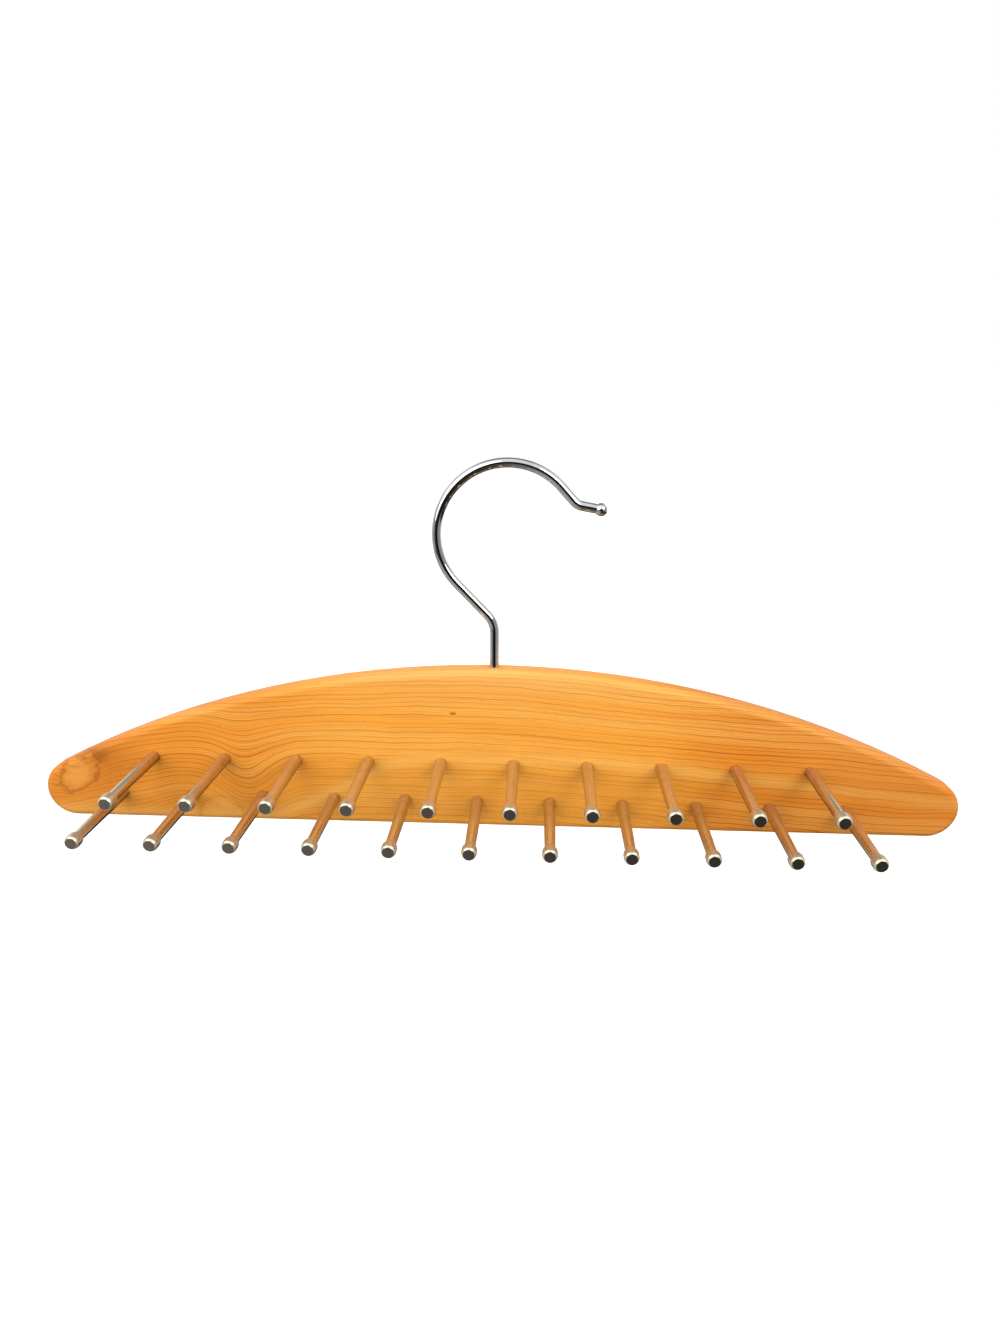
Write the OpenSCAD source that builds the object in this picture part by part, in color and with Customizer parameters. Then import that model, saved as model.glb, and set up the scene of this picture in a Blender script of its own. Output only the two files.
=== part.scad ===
// Arched wooden tie hanger with a turning wire hook and two staggered rows of metal pegs.
// All sizes are in millimetres. The origin is the seat on the rail: the highest point of the hook's inner curve.
// +X runs along the board, +Z points up, and the pegs point to -Y.

/* [Board] */
// Length of the board, end to end
board_len = 406; // [300:1:450]
// Height of the board at its middle
board_h = 73; // [60:0.5:110]
// Thickness of the board
board_t = 12; // [11.5:0.1:20]
// Radius of the board's two round ends, seen from the front
end_r = 13; // [6:0.5:20]
// Radius of the rounding on every edge of the faces
edge_r = 3; // [0.5:0.1:4.5]

/* [Pegs] */
// Distance from the board's left end to the first peg of the lower row
left_margin = 36; // [16:0.5:60]
// Distance from the last peg of the lower row to the board's right end
right_margin = 50; // [16:0.5:60]
// Number of pegs in the upper row, with one more in the lower row
upper_count = 10; // [2:1:14]
// Height of the lower row above the board's bottom edge
lower_row_z = 12.5; // [8:0.5:16]
// Height of the upper row above the lower row
row_gap = 17.75; // [8:0.25:20]
// Length of a peg in front of the board
peg_len = 49; // [20:0.5:80]
// Diameter of a peg's tapered shaft at the board's face
root_d = 5.3; // [4.8:0.1:7]
// Diameter of the shaft where it runs into the head
neck_d = 4.3; // [2.5:0.1:5]
// Diameter of a peg's barrel-shaped head
head_d = 6.3; // [5.8:0.1:8]
// Length of the straight middle of the head, between its two round ends
head_middle = 1.8; // [0.5:0.1:4]
// Diameter of the flat end of a peg
end_face_d = 4.9; // [2:0.1:5.2]
// Width of the bright rim between the head's round end and its flat end
head_rim = 0.3; // [0.1:0.05:0.4]
// Rounding of the shaft's edge at the board's face
root_round = 0.3; // [0.1:0.05:0.5]
// Diameter of a peg's shank inside the board
shank_d = 4; // [2.5:0.1:4.2]
// Length of the shank
shank_len = 8.5; // [5:0.5:9.5]
// Gap for glue around a shank
glue_gap = 0.05; // [0.02:0.01:0.1]
// Gap between a shank's end and the bottom of its hole
hole_relief = 0.5; // [0.2:0.1:1]

/* [Hook] */
// Diameter of the hook's wire
wire_d = 4; // [3:0.1:5]
// Inside diameter of the hook's main curve
hook_inner_d = 55; // [36:0.5:70]
// Length of straight wire between the board and the first bend
stem_rise = 15.7; // [6:0.1:40]
// Radius of the bend above the stem, at the wire's middle
stem_bend_r = 10.4; // [5:0.1:20]
// Angle by which the wire leans away from the stem
stem_lean = 44; // [25:1:60]
// Length of straight wire between that bend and the main curve
lean_len = 18.7; // [4:0.1:30]
// Slope of the straight wire that runs down from the main curve
drop_slope = 48; // [20:1:60]
// Length of that straight wire
drop_len = 7.5; // [1:0.5:20]
// Radius of the bend before the tip, at the wire's middle
tip_bend_r = 5.4; // [4:0.1:15]
// Slope of the straight tip
tip_slope = 10; // [0:1:20]
// Length of straight wire from the last bend to the middle of the ball
tip_len = 8; // [3:0.1:15]
// Diameter of the ball on the tip
ball_d = 5.4; // [5:0.1:8]

/* [Hook socket] */
// Depth of the hook's hole, from the board's top edge
socket_depth = 32; // [20:1:36]
// Length of the hook's wire inside the board
socketed_len = 30; // [16:1:30]
// Running gap between the hook and its hole
running_gap = 0.05; // [0.02:0.01:0.1]
// Depth of the grooves between the barbs
barb_depth = 0.3; // [0.15:0.05:0.5]
// Length of one barb
barb_pitch = 2.5; // [1.5:0.1:3]
// Number of barbs
barb_count = 6; // [2:1:8]
// Length of the point below the barbs
point_len = 1.5; // [0.5:0.1:3]

/* [Hidden] */
// Overshoot of a cut through a surface
cut = 1;
// Facets of small and large round forms
fine = 64;
coarse = 360;
// Tiny step where one round form runs on into another, and the length of a lap, so that forms fuse cleanly
seam = 0.01;
lap = 0.2;

lower_count = upper_count + 1;
peg_pitch = (board_len - left_margin - right_margin) / (lower_count - 1);
pattern_middle = (left_margin - right_margin) / 2;
upper_row_z = lower_row_z + row_gap;
wire_r = wire_d / 2;
front_y = -board_t / 2;

// The arch is the circle that touches both round ends and the board's highest point.
end_x = board_len / 2 - end_r;
crown = board_h - end_r;
arch_r = (end_x ^ 2 + crown ^ 2 - end_r ^ 2) / (2 * (crown - end_r));
arch_z = board_h - arch_r;
// Direction of an end's centre, seen from the arch's centre
end_angle = atan2(end_r - arch_z, end_x);

// The hook's wire as [length, 0] for a straight and [radius, turn] for a bend, left turns positive.
main_r = hook_inner_d / 2 + wire_r;
main_turn = 90 + stem_lean + drop_slope;
tip_turn = drop_slope - tip_slope;
WIRE = [
    [stem_rise, 0],
    [stem_bend_r, stem_lean],
    [lean_len, 0],
    [main_r, -main_turn],
    [drop_len, 0],
    [tip_bend_r, tip_turn],
    [tip_len, 0]
];
MAIN = 3;
WIRE_START = [0, board_h, 90];

function bend_middle(at, r, turn) =
    [at[0] - sign(turn) * r * sin(at[2]), at[1] + sign(turn) * r * cos(at[2])];
function after_straight(at, len) =
    [at[0] + len * cos(at[2]), at[1] + len * sin(at[2]), at[2]];
function after_bend(at, r, turn) =
    let (m = bend_middle(at, r, turn), h = at[2] + turn, s = sign(turn) * r)
    [m[0] + s * sin(h), m[1] - s * cos(h), h];
// Place and heading of the wire at the start of its piece number i
function wire_at(i) =
    i == 0 ? WIRE_START
    : WIRE[i - 1][1] == 0 ? after_straight(wire_at(i - 1), WIRE[i - 1][0])
    : after_bend(wire_at(i - 1), WIRE[i - 1][0], WIRE[i - 1][1]);

main_middle = bend_middle(wire_at(MAIN), main_r, -main_turn);
seat = [main_middle[0], 0, main_middle[1] + main_r - wire_r];

UPPER = [for (i = [1 : upper_count]) str("peg_upper_", i)];
LOWER = [for (i = [1 : lower_count]) str("peg_lower_", i)];

// Moves a form that is measured from the middle of the board's bottom edge to the seat's frame.
module from_seat() {
    translate(-seat) children();
}

// Turns a form whose plane is XY and whose height is Z, so that its plane is XZ and its height runs to +Y.
module upright() {
    translate([0, board_t / 2, 0]) rotate([90, 0, 0]) children();
}

// Half of the section through the board's rim: w deep, with both outer corners rounded.
module rim_half(w) {
    intersection() {
        square([w, board_t]);
        union() {
            square([w - edge_r, board_t]);
            translate([0, edge_r]) square([w, board_t - 2 * edge_r]);
            for (y = [edge_r, board_t - edge_r]) translate([w - edge_r, y]) circle(r = edge_r + seam, $fn = fine);
        }
    }
}

module rounded_disc(r, facets) {
    rotate_extrude($fn = facets) rim_half(r);
}

// Everything above the line between the two end centres, between the rays to them from the arch's centre.
module arch_part() {
    reach = arch_r + cut;
    ray = [reach * cos(end_angle), arch_z + reach * sin(end_angle)];
    intersection() {
        translate([0, arch_z, 0]) rounded_disc(arch_r, coarse);
        linear_extrude(board_t)
            polygon([[-end_x, end_r], [end_x, end_r], ray, [0, arch_z + 2 * reach], [-ray[0], ray[1]]]);
    }
}

// The strip along the straight bottom edge
module bottom_part() {
    translate([end_x, end_r, 0]) rotate([90, 0, -90]) linear_extrude(2 * end_x) rim_half(end_r);
}

module board_blank() {
    upright() {
        arch_part();
        bottom_part();
        for (x = [-end_x, end_x]) translate([x, end_r, 0]) rounded_disc(end_r + seam, fine);
    }
}

// Section through the barbed wire end, from its point up to the stem, grown all round by a gap.
// Each barb widens upward and ends in a flat step, so it goes in easily and holds against a pull.
module barbed_section(top_z, gap) {
    crest = wire_r + gap;
    root = crest - barb_depth;
    first = -socketed_len + point_len;
    last = first + (barb_count + 0.4) * barb_pitch;
    polygon(concat(
        [[0, -socketed_len - gap], [root - point_len / 3, -socketed_len - gap], [root, first]],
        [for (i = [1 : barb_count], p = [
            [crest, first + (i - 0.2) * barb_pitch - gap],
            [crest, first + i * barb_pitch + gap],
            [root, first + i * barb_pitch + gap]
        ]) p],
        [[root, last - gap], [crest, last - gap], [crest, top_z], [0, top_z]]
    ));
}

module hook_socket() {
    translate([0, 0, board_h]) {
        rotate_extrude($fn = fine) barbed_section(cut, running_gap);
        translate([0, 0, -socket_depth]) cylinder(r = wire_r - barb_depth, h = socket_depth, $fn = fine);
    }
}

module peg_hole() {
    rotate([-90, 0, 0]) translate([0, 0, -cut])
        cylinder(d = shank_d + 2 * glue_gap, h = shank_len + hole_relief + cut, $fn = fine);
}

// Places its children at the root of peg number i of a row, on the board's face.
module at_root(i, count, z) {
    translate([(i - (count + 1) / 2) * peg_pitch + pattern_middle, front_y, z]) children();
}

module board() {
    color("#e39a45") from_seat() difference() {
        board_blank();
        hook_socket();
        for (i = [1 : upper_count]) at_root(i, upper_count, upper_row_z) peg_hole();
        for (i = [1 : lower_count]) at_root(i, lower_count, lower_row_z) peg_hole();
    }
}

module wire_straight(at, len) {
    translate([at[0], 0, at[1]]) rotate([0, 90 - at[2], 0]) translate([0, 0, -lap])
        cylinder(d = wire_d, h = len + 2 * lap, $fn = fine);
}

module wire_bend(at, r, turn) {
    middle = bend_middle(at, r, turn);
    start = turn > 0 ? at[2] - 90 : at[2] + 90 + turn;
    translate([middle[0], 0, middle[1]]) rotate([90, 0, 0]) rotate([0, 0, start])
        rotate_extrude(angle = abs(turn), $fn = 2 * fine)
            translate([r, 0]) circle(r = wire_r - seam, $fn = fine);
}

// The barbed end and the stem are one revolved form. The other straights and bends follow it.
module hook() {
    color("#b9bcc0") from_seat() {
        translate([0, 0, board_h]) rotate_extrude($fn = fine) barbed_section(stem_rise + lap, 0);
        for (i = [1 : len(WIRE) - 1]) {
            if (WIRE[i][1] == 0) wire_straight(wire_at(i), WIRE[i][0]);
            else wire_bend(wire_at(i), WIRE[i][0], WIRE[i][1]);
        }
        tip = wire_at(len(WIRE));
        translate([tip[0], 0, tip[1]]) sphere(d = ball_d, $fn = fine);
    }
}

// Half of the section through a peg, with its axis up and the board's face at height 0.
// The step from the shank to the wider root stops the peg at the face.
module peg_section() {
    head_r = head_d / 2;
    face_r = end_face_d / 2;
    root_r = root_d / 2;
    front_z = peg_len - sqrt(head_r ^ 2 - face_r ^ 2);
    rear_z = front_z - head_middle;
    translate([0, -shank_len]) square([shank_d / 2, shank_len + root_round]);
    polygon([[0, root_round], [root_r, root_round], [neck_d / 2, rear_z], [0, rear_z]]);
    square([root_r - root_round, root_round]);
    intersection() {
        translate([root_r - root_round, root_round]) circle(r = root_round, $fn = fine);
        square([root_r, root_round]);
    }
    intersection() {
        union() {
            for (z = [rear_z, front_z]) translate([0, z]) circle(r = head_r, $fn = fine);
            translate([0, rear_z]) square([head_r, head_middle]);
        }
        polygon([
            [0, rear_z - head_r],
            [head_r, rear_z - head_r],
            [head_r, peg_len - head_rim - (head_r - face_r)],
            [face_r - head_rim / 2, peg_len],
            [0, peg_len]
        ]);
    }
}

module peg(i, count, z) {
    color("#c9b79c") from_seat() at_root(i, count, z) rotate([90, 0, 0])
        rotate_extrude($fn = fine) peg_section();
}

board();
hook();
for (i = [1 : upper_count]) peg(i, upper_count, upper_row_z);
for (i = [1 : lower_count]) peg(i, lower_count, lower_row_z);
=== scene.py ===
"""Looks of the arched wooden tie hanger: materials, lights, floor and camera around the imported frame."""
import math

import bpy
from mathutils import Matrix, Vector

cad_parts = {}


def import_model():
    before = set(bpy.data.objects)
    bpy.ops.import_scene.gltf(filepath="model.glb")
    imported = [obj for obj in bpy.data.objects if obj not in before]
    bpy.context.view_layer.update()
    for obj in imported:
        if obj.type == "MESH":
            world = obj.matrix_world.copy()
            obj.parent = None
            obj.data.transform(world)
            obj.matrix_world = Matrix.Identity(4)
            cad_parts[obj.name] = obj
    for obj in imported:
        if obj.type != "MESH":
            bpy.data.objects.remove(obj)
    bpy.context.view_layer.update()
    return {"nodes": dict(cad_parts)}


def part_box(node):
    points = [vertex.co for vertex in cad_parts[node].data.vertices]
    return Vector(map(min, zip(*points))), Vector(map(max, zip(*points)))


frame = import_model()

# All lengths are in metres, and colours are given as they look on a screen, in 0 to 255.
BOARD_LOW, BOARD_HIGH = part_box("board")
BOARD_MIDDLE_X = (BOARD_LOW[0] + BOARD_HIGH[0]) / 2
PEG_END_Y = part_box("peg_upper_1")[0][1]

# Camera: solved from the places of the peg roots, the peg tips and the board's outline in the photograph
FRAME_LONG_PX = 1333
FOCAL_PX = 924
SENSOR_MM = 36
CAMERA_FROM_BOARD = (0.0196, -0.3793, 0.1908)
CAMERA_AT = (BOARD_MIDDLE_X + CAMERA_FROM_BOARD[0], CAMERA_FROM_BOARD[1], BOARD_LOW[2] + CAMERA_FROM_BOARD[2])
CAMERA_YAW = math.radians(-2.59)
CAMERA_PITCH = math.radians(17.19)
CAMERA_ROLL = math.radians(0.34)
CLIP_START = 0.01

# The floor is far below, because the hanger hangs on a rail.
FLOOR_Z = -0.75
FLOOR_SIZE = 12
FLOOR_GREYS = (0.80, 0.84)
FLOOR_LIFT = 0.68

# Lamps: name, place, point aimed at, diameter and power in watts
LAMPS = (
    ("left_softbox", (-0.42, -0.42, 0.28), (-0.08, 0, -0.11), 0.80, 2.7),
    ("right_softbox", (0.40, -0.42, 0.28), (0.06, 0, -0.11), 0.44, 1.7),
)
WHITE = (1, 1, 1, 1)

# Wood: how far the grain leans and climbs with depth, how deep the knots go, and how far apart its lines are
GRAIN_LEAN = 1.5
GRAIN_CLIMB = 0.8
GRAIN_TILT = 0.030
KNOT_DEPTH = 0.006
RING_PITCH = 0.0025
HAIR_PITCH = 0.0009
WOOD = {
    "base": (250, 168, 58),
    "warm_and_shaded": (226, 126, 18),
    "pale": (255, 192, 96),
    "band": (255, 194, 96),
    "dome_edge": (176, 92, 20),
    "crown": (255, 202, 128),
    "hair": (196, 112, 30),
    "warm_hair": (168, 84, 12),
    "late": (182, 90, 14),
    "warm_late": (148, 66, 8),
    "fibre": (186, 102, 26),
    "fleck": (176, 96, 30),
    "ends": (206, 122, 40),
    "pin_knot": (176, 88, 14),
    "halo": (188, 102, 20),
    "patch": (248, 180, 92),
    "bark": (150, 78, 18),
}

WIRE = {"bright": (212, 213, 214), "hazy": (198, 200, 202)}

PEG = {
    "bright": (206, 190, 156),
    "hazy": (188, 171, 138),
    "tip_sheen": (214, 203, 178),
    "streak": (158, 130, 92),
    "end_face_dark_reflection": (153, 141, 125),
    "crest": (236, 220, 180),
    "underside_shade": (58, 46, 32),
    "barrel": (204, 182, 150),
    "rim": (236, 226, 200),
}
PEG_METALLIC = 0.94


def linear(rgb):
    """A screen colour as the linear values that shaders take."""
    def channel(value):
        value /= 255
        return value / 12.92 if value <= 0.04045 else ((value + 0.055) / 1.055) ** 2.4
    return tuple(channel(value) for value in rgb) + (1,)


class Nodes:
    """Short calls that add shader nodes to one tree and link them."""

    def __init__(self, tree):
        self.tree = tree
        tree.nodes.clear()

    def add(self, kind, **settings):
        node = self.tree.nodes.new(kind)
        for name, value in settings.items():
            setattr(node, name, value)
        return node

    def put(self, socket, value):
        if isinstance(value, bpy.types.NodeSocket):
            self.tree.links.new(value, socket)
        else:
            socket.default_value = value

    def math(self, operation, first, second=0.0):
        node = self.add("ShaderNodeMath", operation=operation)
        self.put(node.inputs[0], first)
        self.put(node.inputs[1], second)
        return node.outputs[0]

    def plus(self, first, second):
        return self.math("ADD", first, second)

    def minus(self, first, second):
        return self.math("SUBTRACT", first, second)

    def times(self, first, second):
        return self.math("MULTIPLY", first, second)

    def larger(self, first, second):
        return self.math("MAXIMUM", first, second)

    def size(self, value):
        return self.math("ABSOLUTE", value)

    def place(self, kind="Object"):
        """The x, y and z of the point, or of its normal, in the piece's own frame."""
        split = self.add("ShaderNodeSeparateXYZ")
        self.put(split.inputs[0], self.add("ShaderNodeTexCoord").outputs[kind])
        return split.outputs

    def noise(self, point, scales, detail=2.0, roughness=0.5):
        """Noise from 0 to 1, stretched by one scale along each axis."""
        joined = self.add("ShaderNodeCombineXYZ")
        for socket, value, scale in zip(joined.inputs, point, scales):
            self.put(socket, self.times(value, scale))
        node = self.add("ShaderNodeTexNoise")
        self.put(node.inputs["Vector"], joined.outputs[0])
        self.put(node.inputs["Scale"], 1.0)
        self.put(node.inputs["Detail"], detail)
        self.put(node.inputs["Roughness"], roughness)
        return node.outputs["Fac"]

    def centred(self, noise):
        return self.minus(noise, 0.5)

    def step(self, value, low, high, to_low=0.0, to_high=1.0):
        """A smooth step from to_low, where value is low or less, to to_high, where it is high or more."""
        node = self.add("ShaderNodeMapRange", interpolation_type="SMOOTHSTEP")
        for name, number in (("Value", value), ("From Min", low), ("From Max", high),
                             ("To Min", to_low), ("To Max", to_high)):
            self.put(node.inputs[name], number)
        return node.outputs[0]

    def bell(self, *terms):
        """A smooth hump of height 1: each term is a coordinate, its middle and its spread."""
        total = 0.0
        for value, middle, spread in terms:
            away = self.size(self.math("DIVIDE", self.minus(value, middle), spread))
            total = self.plus(total, self.math("POWER", away, 2))
        return self.math("EXPONENT", self.times(total, -1))

    def mix(self, share, first, second):
        node = self.add("ShaderNodeMix", data_type="RGBA")
        self.put(node.inputs["Factor"], share)
        self.put(node.inputs[6], first)
        self.put(node.inputs[7], second)
        return node.outputs[2]

    def tint(self, colour, share, rgb):
        return self.mix(share, colour, linear(rgb))

    def bump(self, height, distance):
        node = self.add("ShaderNodeBump")
        self.put(node.inputs["Height"], height)
        self.put(node.inputs["Distance"], distance)
        return node.outputs["Normal"]

    def surface(self, **values):
        """The Principled surface, with its output."""
        shader = self.add("ShaderNodeBsdfPrincipled")
        for name, value in values.items():
            self.put(shader.inputs[name.replace("_", " ")], value)
        self.output(shader.outputs[0])

    def output(self, shader, kind="ShaderNodeOutputMaterial"):
        self.put(self.add(kind).inputs["Surface"], shader)


def material(name):
    made = bpy.data.materials.new(name)
    made.use_nodes = True
    return made, Nodes(made.node_tree)


def wood():
    """Lacquered softwood: growth lines that run along the board, dip into a valley and swirl round two knots."""
    made, n = material("lacquered_softwood")
    x, y, z = n.place()
    up = n.minus(z, BOARD_LOW[2])
    # The grain leans with depth, so that it differs on the back, and the knots lie near the front.
    deep = n.minus(y, BOARD_LOW[1])
    along = n.plus(n.minus(x, BOARD_MIDDLE_X), n.times(deep, GRAIN_LEAN))
    near_front = n.bell((deep, 0.0, KNOT_DEPTH))

    # Forms that bend the grain
    hill = n.bell((along, 0.005, 0.095))
    valley = n.bell((along, -0.110, 0.016), (up, 0.014, 0.026))
    dome = n.bell((along, -0.136, 0.015), (up, -0.004, 0.016))
    leaning = n.minus(along, n.times(up, 0.55))
    left_knot = n.times(n.bell((leaning, -0.1983, 0.0090), (up, 0.0210, 0.0100)), near_front)
    pin_knot = n.times(n.bell((along, -0.0175, 0.0019), (up, 0.0535, 0.0009)), near_front)
    left_drop = n.step(along, -0.215, -0.120, 1.0, 0.0)
    sway = n.noise((along, y, up), (9, 14, 22), 3.0)
    wiggle = n.noise((along, y, up), (75, 60, 60))
    crumple = n.noise((along, y, up), (130, 130, 150), 2.0, 0.6)

    # Level of the growth lines: each line joins points of one level.
    level = n.plus(up, n.times(along, GRAIN_TILT))
    level = n.plus(level, n.times(deep, GRAIN_CLIMB))
    for form, rise in ((hill, -0.0055), (valley, 0.014), (dome, -0.009), (left_knot, 0.007),
                       (pin_knot, 0.0012), (left_drop, 0.014), (n.centred(sway), 0.009),
                       (n.centred(wiggle), 0.0011), (n.times(n.centred(crumple), left_knot), 0.010)):
        level = n.plus(level, n.times(form, rise))

    # Dark latewood lines, each with its own strength, and finer lines between them
    pace = n.noise((level, 0.0, 0.0), (130, 1, 1), 1.0)
    rings = n.plus(n.times(level, 1 / RING_PITCH), n.times(pace, 2.6))
    ring = n.math("FRACT", rings)
    late = n.times(n.step(ring, 0.66, 0.95), n.step(ring, 0.96, 1.0, 1.0, 0.0))
    late = n.math("POWER", late, 1.8)
    year = n.noise((n.math("FLOOR", rings), along, 0.0), (7.7, 11, 1))
    late = n.times(late, n.step(year, 0.30, 0.62, 0.50, 1.0))
    hair = n.math("FRACT", n.plus(n.times(level, 1 / HAIR_PITCH), n.times(pace, 1.7)))
    hair = n.times(n.step(hair, 0.45, 0.95), n.step(hair, 0.96, 1.0, 1.0, 0.0))

    pale = n.noise((level, along, 3.0), (75, 4, 1), 1.0)
    fibre = n.noise((along, y, level), (34, 1100, 1100), 3.0, 0.65)
    fleck = n.noise((along, y, level), (260, 2200, 2200), 1.0)

    # A pale band without lines climbs out of the valley and runs on to the right end.
    climb = n.step(along, -0.105, -0.030, 0.003, 0.0322)
    fall = n.times(n.larger(n.minus(along, 0.052), 0.0), 0.105)
    band = n.bell((up, n.minus(climb, fall), 0.0031))
    dome_top = n.bell((along, -0.1225, 0.0095), (up, 0.003, 0.0085))
    # Painted sheen: a pale patch along the top of the front face, in the middle.
    crown = n.bell((along, -0.005, 0.090), (up, 0.076, 0.014))

    # Broad tones: the wood is warmer and darker away from the middle, and more so on the right, partly its own
    # tone and partly painted shade where the light falls off.
    warm_and_shaded = n.step(n.size(along), 0.055, 0.115)
    colour = n.tint(linear(WOOD["base"]), n.times(warm_and_shaded, n.step(along, -0.050, 0.050, 0.42, 0.70)), WOOD["warm_and_shaded"])
    colour = n.tint(colour, n.step(pale, 0.46, 0.66, 0.0, 0.36), WOOD["pale"])
    colour = n.tint(colour, n.times(n.larger(band, dome_top), 0.55), WOOD["band"])
    colour = n.tint(colour, n.times(n.bell((dome_top, 0.35, 0.07)), 0.25), WOOD["dome_edge"])
    # Painted sheen near the top edge
    colour = n.tint(colour, n.times(crown, 0.42), WOOD["crown"])

    # Lines, fibres and flecks
    hair_colour = n.mix(warm_and_shaded, linear(WOOD["hair"]), linear(WOOD["warm_hair"]))
    colour = n.mix(n.times(hair, 0.32), colour, hair_colour)
    late = n.times(late, n.minus(1.0, n.times(band, 0.75)))
    late_share = n.plus(0.54, n.times(warm_and_shaded, n.step(along, -0.050, 0.050, 0.06, 0.30)))
    late_colour = n.mix(warm_and_shaded, linear(WOOD["late"]), linear(WOOD["warm_late"]))
    colour = n.mix(n.times(late, late_share), colour, late_colour)
    colour = n.tint(colour, n.step(fibre, 0.42, 0.78, 0.0, 0.26), WOOD["fibre"])
    colour = n.tint(colour, n.step(fleck, 0.62, 0.80, 0.0, 0.25), WOOD["fleck"])
    # Darker towards both ends: partly the wood's own tone and partly painted shade where the light falls off.
    ends = n.step(n.size(n.plus(along, 0.02)), 0.105, 0.215)
    colour = n.tint(colour, n.times(ends, 0.40), WOOD["ends"])

    # The pin knot, and at the left end a pale patch with a crumpled dark edge and a smear beside it
    colour = n.tint(colour, n.times(n.step(pin_knot, 0.30, 0.85), 0.80), WOOD["pin_knot"])
    halo = n.times(n.bell((along, -0.172, 0.012), (up, 0.028, 0.014)), near_front)
    colour = n.tint(colour, n.times(halo, 0.50), WOOD["halo"])
    patch = n.plus(left_knot, n.times(n.centred(crumple), n.step(left_knot, 0.03, 0.30)))
    colour = n.tint(colour, n.step(patch, 0.42, 0.90, 0.0, 0.36), WOOD["patch"])
    colour = n.tint(colour, n.times(n.bell((patch, 0.42, 0.070)), 0.50), WOOD["bark"])
    smear = n.times(n.bell((along, -0.1752, 0.0038), (up, 0.0305, 0.0036)), near_front)
    colour = n.tint(colour, n.times(smear, 0.60), WOOD["bark"])

    height = n.plus(n.times(fibre, 0.4), n.times(late, 0.6))
    n.surface(Base_Color=colour, Roughness=n.step(fibre, 0.2, 0.8, 0.42, 0.52), Specular_IOR_Level=0.25,
              Coat_Weight=0.06, Coat_Roughness=0.25, Normal=n.bump(height, 0.00003))
    return made


def wire():
    """Plated wire: nearly a mirror, with faint lengthwise drawing marks and a few dull patches."""
    made, n = material("plated_wire")
    point = n.place()
    haze = n.noise(point, (180, 180, 180))
    drawn = n.noise(point, (600, 2400, 600))
    n.surface(Base_Color=n.tint(linear(WIRE["bright"]), n.step(haze, 0.4, 0.7), WIRE["hazy"]),
              Metallic=1.0, Roughness=n.step(haze, 0.35, 0.75, 0.04, 0.09),
              Normal=n.bump(drawn, 0.000004))
    return made


def peg():
    """Satin plated peg: warmer and duller than the wire, with fine turning marks."""
    made, n = material("plated_peg")
    x, y, z = n.place()
    _, facing_back, facing_up = n.place("Normal")
    haze = n.noise((x, y, z), (240, 240, 240))
    drawn = n.noise((x, y, z), (800, 12, 800), 1.0)
    marks = n.noise((0.0, y, 0.0), (1, 5200, 1), 1.0)
    from_end = n.minus(y, PEG_END_Y)
    shaft = n.step(from_end, 0.0065, 0.0080)

    # Painted reflection: the front half of a shaft is painted paler than its root, and it is also made duller.
    tip_sheen = n.step(from_end, 0.005, 0.041, 1.0, 0.0)
    colour = n.tint(linear(PEG["bright"]), n.step(haze, 0.4, 0.7), PEG["hazy"])
    colour = n.tint(colour, tip_sheen, PEG["tip_sheen"])
    colour = n.tint(colour, n.times(n.step(drawn, 0.45, 0.65, 0.0, 0.40), shaft), PEG["streak"])
    # Painted reflection: the flat end face is painted darker, for the dim surroundings it faces.
    colour = n.tint(colour, n.step(from_end, 0.00005, 0.00025, 1.0, 0.0), PEG["end_face_dark_reflection"])

    # Painted highlight and painted shade: the upper side of a shaft is painted pale, and its underside is painted
    # dark.
    crest = n.times(n.step(facing_up, 0.62, 0.98), shaft)
    colour = n.tint(colour, n.times(crest, 0.40), PEG["crest"])
    colour = n.tint(colour, n.times(n.step(facing_up, -0.45, 0.25, 0.88, 0.0), shaft), PEG["underside_shade"])

    # The barrel of the head is dull, and a painted highlight rings its end face as a bright rim.
    barrel = n.times(n.minus(1.0, shaft), n.step(from_end, 0.0001, 0.0004))
    colour = n.tint(colour, n.times(barrel, 0.50), PEG["barrel"])
    rim = n.times(n.step(facing_back, -0.95, -0.85), n.step(facing_back, -0.62, -0.50, 1.0, 0.0))
    rim = n.times(rim, n.step(from_end, 0.0005, 0.0010, 1.0, 0.0))
    colour = n.tint(colour, n.times(rim, 0.65), PEG["rim"])

    metallic = n.minus(PEG_METALLIC, n.times(crest, 0.07))
    metallic = n.minus(metallic, n.plus(n.times(barrel, 0.14), n.times(rim, 0.28)))
    roughness = n.plus(n.step(haze, 0.35, 0.75, 0.14, 0.19), n.times(tip_sheen, 0.05))
    roughness = n.plus(roughness, n.times(barrel, 0.12))
    n.surface(Base_Color=colour, Metallic=metallic, Roughness=roughness, Normal=n.bump(marks, 0.000002))
    return made


def dress(names, made):
    for name in names:
        node = frame["nodes"][name]
        node.data.materials.clear()
        node.data.materials.append(made)


def place_in_scene(name, data):
    thing = bpy.data.objects.new(name, data)
    bpy.context.scene.collection.objects.link(thing)
    return thing


def lamp(name, at, aim, size, power):
    light = bpy.data.lights.new(name, "AREA")
    light.shape = "DISK"
    light.size = size
    light.energy = power
    thing = place_in_scene(name, light)
    thing.location = at
    thing.rotation_euler = (Vector(aim) - Vector(at)).to_track_quat("-Z", "Y").to_euler()


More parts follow.
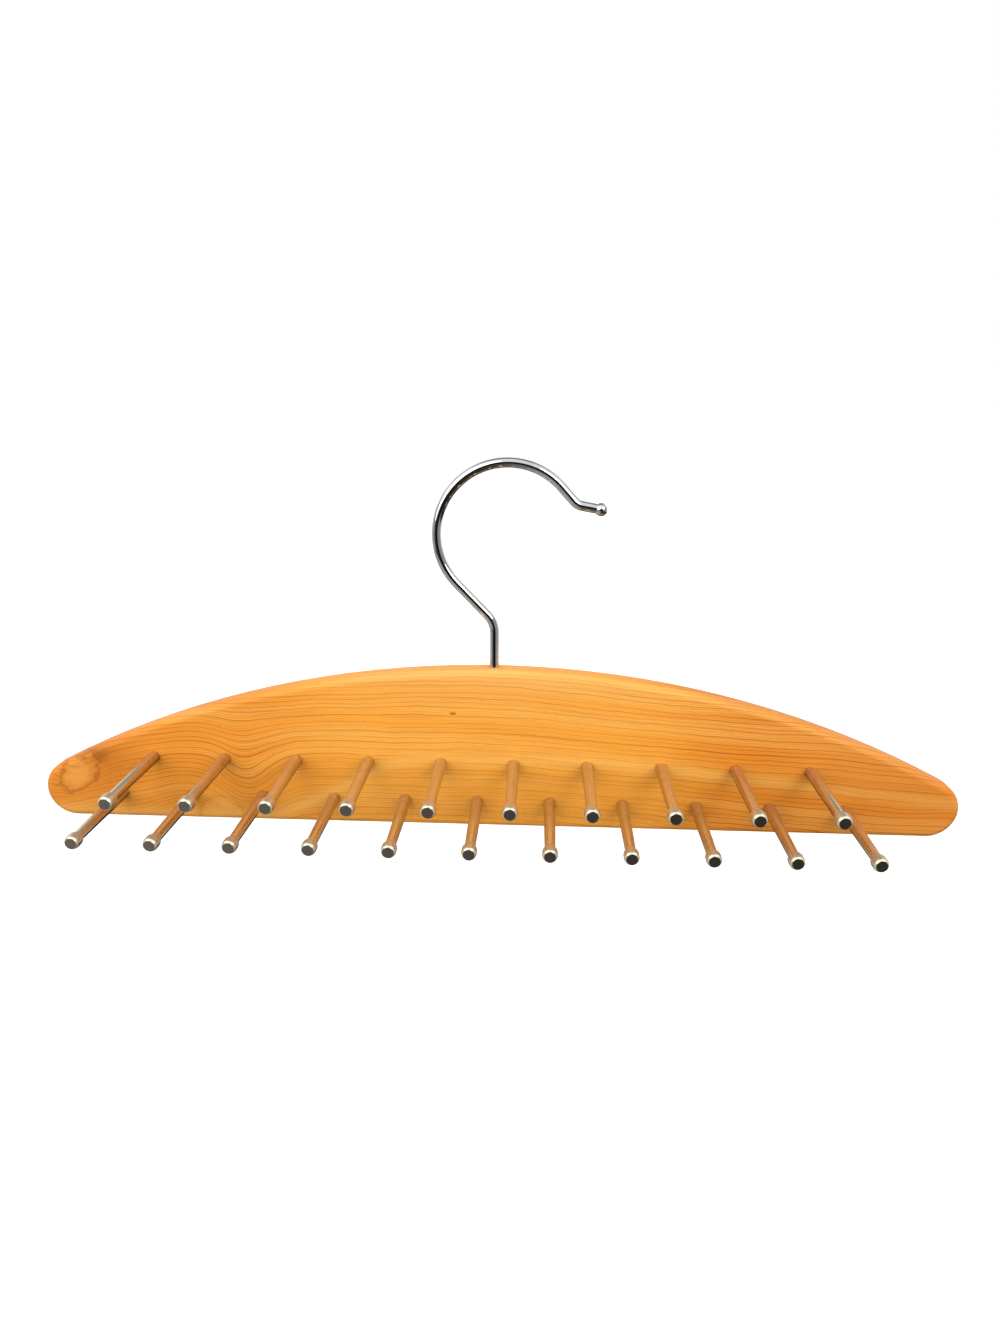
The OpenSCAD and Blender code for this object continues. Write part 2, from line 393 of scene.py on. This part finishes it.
def world():
    """Plain white to the camera. Metal sees a studio: bright above, behind and beside, dim in front and below."""
    made = bpy.data.worlds.new("studio")
    bpy.context.scene.world = made
    made.use_nodes = True
    n = Nodes(made.node_tree)
    x, y, z = n.place("Generated")

    above = n.times(n.step(z, 0.25, 0.50), n.step(y, -0.15, 0.35, 1.10, 0.0))
    behind = n.times(n.step(y, -0.10, 0.50), n.step(n.size(x), 0.20, 0.55, 0.32, 0.95))
    left = n.step(x, -0.85, -0.55, 0.44, 0.0)
    right = n.step(x, 0.35, 0.70, 0.0, 0.36)
    around = n.larger(behind, n.larger(left, right))
    around = n.times(around, n.step(z, -0.42, -0.28, 0.04, 1.0))
    before = n.times(n.step(x, -0.55, 0.20, 0.44, 0.03), n.step(z, -0.40, -0.28, 1.0, 0.10))
    mirrored = n.larger(n.larger(above, around), before)
    spread = n.step(z, -0.60, 0.20, 0.34, 0.84)

    def background(strength):
        node = n.add("ShaderNodeBackground")
        n.put(node.inputs["Color"], WHITE)
        n.put(node.inputs["Strength"], strength)
        return node.outputs[0]

    def choose(ray, otherwise, chosen):
        node = n.add("ShaderNodeMixShader")
        n.put(node.inputs[0], path.outputs[ray])
        n.put(node.inputs[1], otherwise)
        n.put(node.inputs[2], chosen)
        return node.outputs[0]

    path = n.add("ShaderNodeLightPath")
    lit = choose("Is Glossy Ray", background(spread), background(mirrored))
    n.output(choose("Is Camera Ray", lit, background(1.0)), "ShaderNodeOutputWorld")


def floor():
    made, n = material("pale_floor")
    grain = n.noise(n.place(), (40, 40, 40))
    shader = n.add("ShaderNodeBsdfDiffuse")
    n.put(shader.inputs["Color"], n.mix(grain, *((grey, grey, grey, 1) for grey in FLOOR_GREYS)))
    path = n.add("ShaderNodeLightPath")
    lift = n.add("ShaderNodeEmission")
    n.put(lift.inputs["Strength"], n.times(path.outputs["Is Camera Ray"], FLOOR_LIFT))
    both = n.add("ShaderNodeAddShader")
    n.put(both.inputs[0], shader.outputs[0])
    n.put(both.inputs[1], lift.outputs[0])
    n.output(both.outputs[0])

    half = FLOOR_SIZE / 2
    corners = [(x * half, y * half, FLOOR_Z) for x, y in ((-1, -1), (1, -1), (1, 1), (-1, 1))]
    mesh = bpy.data.meshes.new("floor")
    mesh.from_pydata(corners, [], [(0, 1, 2, 3)])
    mesh.materials.append(made)
    thing = place_in_scene("floor", mesh)
    thing.visible_glossy = False
    thing.visible_diffuse = False


def camera():
    cos_p, sin_p = math.cos(CAMERA_PITCH), math.sin(CAMERA_PITCH)
    cos_y, sin_y = math.cos(CAMERA_YAW), math.sin(CAMERA_YAW)
    forward = Vector((sin_y * cos_p, cos_y * cos_p, -sin_p))
    level = Vector((cos_y, -sin_y, 0))
    upright = level.cross(forward)
    cos_r, sin_r = math.cos(CAMERA_ROLL), math.sin(CAMERA_ROLL)
    right = cos_r * level + sin_r * upright
    above = -sin_r * level + cos_r * upright
    lens = bpy.data.cameras.new("camera")
    lens.sensor_fit = "AUTO"
    lens.sensor_width = SENSOR_MM
    lens.lens = FOCAL_PX / FRAME_LONG_PX * SENSOR_MM
    lens.clip_start = CLIP_START
    thing = place_in_scene("camera", lens)
    turn = Matrix((right, above, -forward)).transposed().to_4x4()
    thing.matrix_world = Matrix.Translation(CAMERA_AT) @ turn
    bpy.context.scene.camera = thing


dress(["board"], wood())
dress(["hook"], wire())
dress([name for name in frame["nodes"] if name.startswith("peg_")], peg())

world()
floor()
for one in LAMPS:
    lamp(*one)
camera()

bpy.context.scene.view_settings.view_transform = "Standard"
